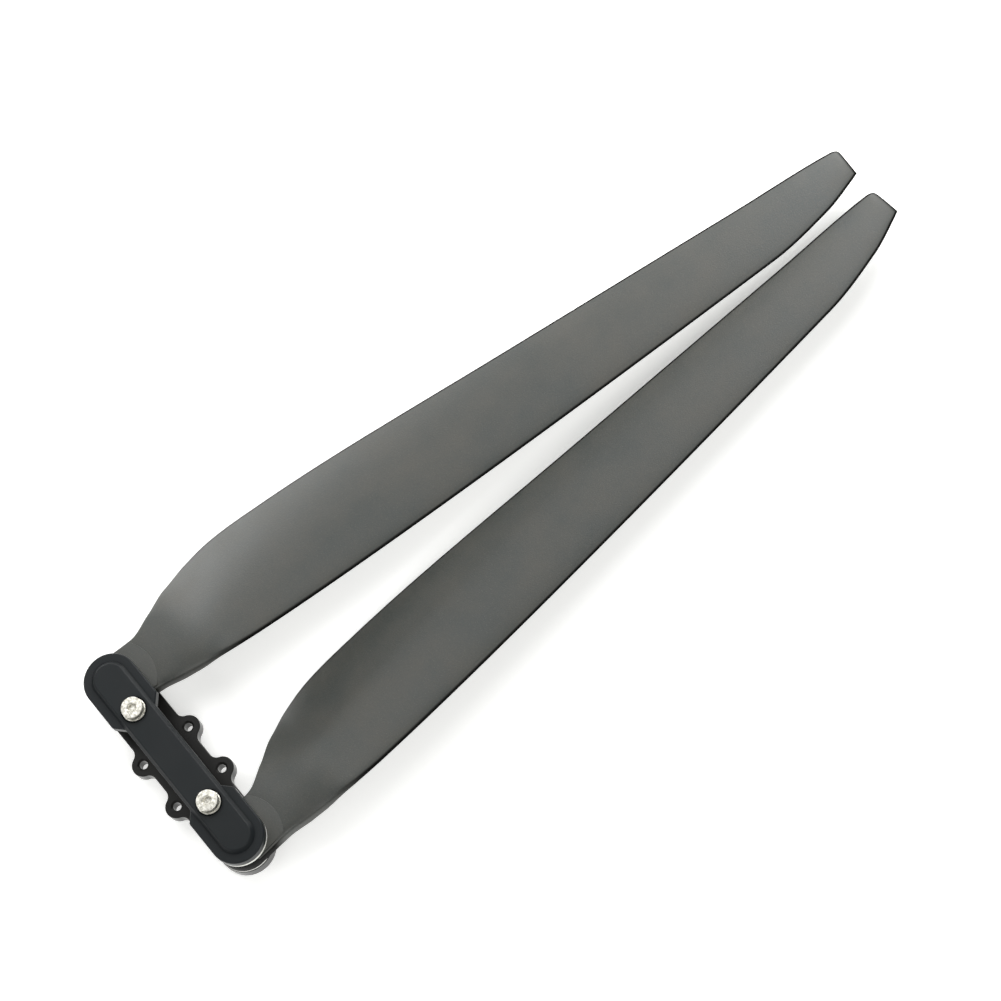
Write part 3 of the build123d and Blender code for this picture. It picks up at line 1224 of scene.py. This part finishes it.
def makeStage(shape):
    half = shape["floorSize"] / 2
    mesh = bpy.data.meshes.new("paper")
    corners = ((-half, -half), (half, -half), (half, half), (-half, half))
    mesh.from_pydata([(x, y, lowest) for x, y in corners], [], [(0, 1, 2, 3)])
    paper = bpy.data.materials.new("whitePaper")
    paper.use_nodes = True
    shader = paper.node_tree.nodes["Principled BSDF"]
    shader.inputs["Base Color"].default_value = srgb(shape["paper"])
    shader.inputs["Roughness"].default_value = shape["paperRoughness"]
    shader.inputs["Emission Color"].default_value = srgb(shape["paper"])
    shader.inputs["Emission Strength"].default_value = shape["paperGlow"]
    mesh.materials.append(paper)
    newObject("paper", mesh)
    world = bpy.data.worlds.new("studio")
    world.use_nodes = True
    background = world.node_tree.nodes["Background"]
    background.inputs["Color"].default_value = srgb(shape["worldColour"])
    background.inputs["Strength"].default_value = shape["worldStrength"]
    bpy.context.scene.world = world


makeStage(stageShape)
aim = Vector((3.23, 155.62, 8.85)) * mm
hubTop = Vector((0, 0, coverHigh.z))
# a light stands round a point: (point, turn from +X, height in degrees, distance, size, power)
softboxes = {
    "lowWall": (aim, 180, 5, 1.5, (1.4, 0.25), 8.5),
    "lowStrip": (aim, 180, 20, 0.45, (0.5, 0.12), 0.13),
    "highStrip": (aim, 180, 46, 0.8, (0.75, 0.27), 0.93),
    "overhead": (aim, 180, 64, 0.8, (0.75, 0.27), 0.64),
    "fillWall": (aim, 0, 50, 1.5, (1.4, 0.6), 10.5),
    "hubWall": (aim, -90, 30, 1.5, (1.4, 0.6), 7.5),
    "tipLight": (aim, 112, 58, 0.55, (0.3, 0.3), 0.95),
    "tipWall": (aim, 125, 25, 0.55, (0.3, 0.2), 2.3),
    "screwShine": (hubTop, 187, 65, 0.35, (0.2, 0.2), 0.1),
}
for name, (middle, turn, rise, distance, size, power) in softboxes.items():
    light = bpy.data.lights.new(name, "AREA")
    light.shape = "RECTANGLE"
    (light.size, light.size_y), light.energy = size, power
    box = bpy.data.objects.new(name, light)
    bpy.context.scene.collection.objects.link(box)
    turn, rise = math.radians(turn), math.radians(rise)
    towards = Vector(
        (math.cos(rise) * math.cos(turn), math.cos(rise) * math.sin(turn), math.sin(rise))
    )
    box.location = middle + towards * distance
    box.rotation_euler = towards.to_track_quat("Z", "Y").to_euler()

cameraView = {
    "tilt": 24.5026,
    "turn": -4.2810,
    "roll": 48.8281,
    "distance": 1830.98,
    "lens": 175.31,
    "sensor": 36,
    "clip": (0.1, 20),
}


def makeCamera(view):
    tilt, turn, roll = (math.radians(view[key]) for key in ("tilt", "turn", "roll"))
    back = Vector(
        (math.sin(tilt) * math.cos(turn), math.sin(tilt) * math.sin(turn), math.cos(tilt))
    )
    east = (Vector((1, 0, 0)) - back * back.x).normalized()
    north = back.cross(east)
    right = math.cos(roll) * east + math.sin(roll) * north
    up = math.cos(roll) * north - math.sin(roll) * east
    data = bpy.data.cameras.new("camera")
    data.lens, data.sensor_width = view["lens"], view["sensor"]
    camera = bpy.data.objects.new("camera", data)
    bpy.context.scene.collection.objects.link(camera)
    place = aim + back * view["distance"] * mm
    rows = Matrix((right, up, back)).transposed()
    camera.matrix_world = Matrix.Translation(place) @ rows.to_4x4()
    data.clip_start, data.clip_end = view["clip"]
    bpy.context.scene.camera = camera


makeCamera(cameraView)
bpy.context.scene.view_settings.view_transform = "Standard"
print("stage, light and camera made")
